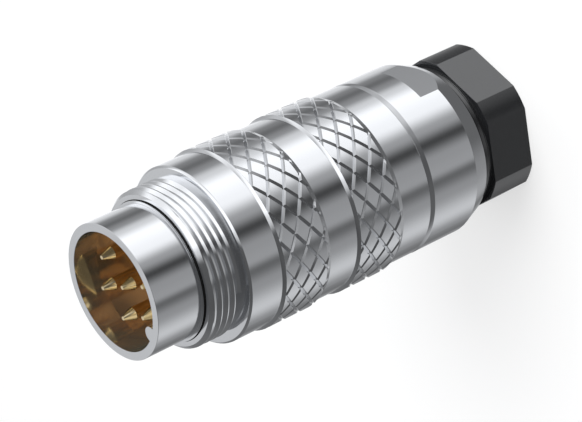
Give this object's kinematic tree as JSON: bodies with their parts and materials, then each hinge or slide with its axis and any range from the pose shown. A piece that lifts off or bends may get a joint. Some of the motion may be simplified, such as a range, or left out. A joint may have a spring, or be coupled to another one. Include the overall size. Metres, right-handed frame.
{
  "type": "circular connector",
  "caption": "Male circular cable connector with gold pins in a round shell, a knurled screw locking ring, and a hexagonal gland nut at the cable end.",
  "frame": {"origin": "centre of the gland nut's rear face, where the connector stands", "axes": "+Z along the connector's axis towards its mating face; +X along the normal of one wrench flat, through the empty contact place"},
  "size_m": [0.0184, 0.0184, 0.0459],
  "materials": {
    "plated_metal": "polished nickel plating",
    "gold_contact": "polished gold plating",
    "black_plastic": "satin moulded plastic",
    "insert_plastic": "matt moulded plastic",
    "grey_plastic": "matt moulded plastic",
    "inner_metal": "plain turned metal",
    "black_rubber": "matt rubber"
  },
  "bodies": {
    "housing": {"front_shell": "plated_metal", "rear_shell": "plated_metal", "coupling_seal": "black_rubber", "body_seal": "black_rubber", "cable_seal": "black_rubber", "contact_insert": "insert_plastic", "contact_retainer": "insert_plastic", "spacer_left": "grey_plastic", "spacer_right": "grey_plastic", "clamp_cage": "grey_plastic", "shield_cone": "inner_metal", "shield_ring": "inner_metal", "pin_centre": "gold_contact", "pin_1": "gold_contact", "pin_2": "gold_contact", "pin_3": "gold_contact", "pin_4": "gold_contact", "pin_5": "gold_contact"},
    "locking_ring": {"locking_ring": "plated_metal"},
    "gland_washer": {"thrust_washer": "inner_metal"},
    "gland_nut": {"gland_nut": "black_plastic", "gland_seal": "black_rubber"}
  },
  "joints": [
    {"name": "ring_spin", "type": "hinge", "parent": "housing", "child": "locking_ring", "pos_m": [0, 0, 0.02565], "axis": [0, 0, 1], "continuous": true},
    {"name": "gland_travel", "type": "slide", "parent": "housing", "child": "gland_washer", "axis": [0, 0, -1], "range_m": [0, 0.003]},
    {"name": "gland_turn", "type": "hinge", "parent": "gland_washer", "child": "gland_nut", "pos_m": [0, 0, 0.00502], "axis": [0, 0, -1], "range_deg": [0, 1080]}
  ],
  "couplings": [
    {"joint": "gland_turn", "follows": "gland_travel", "rad_per_m": 6283}
  ]
}
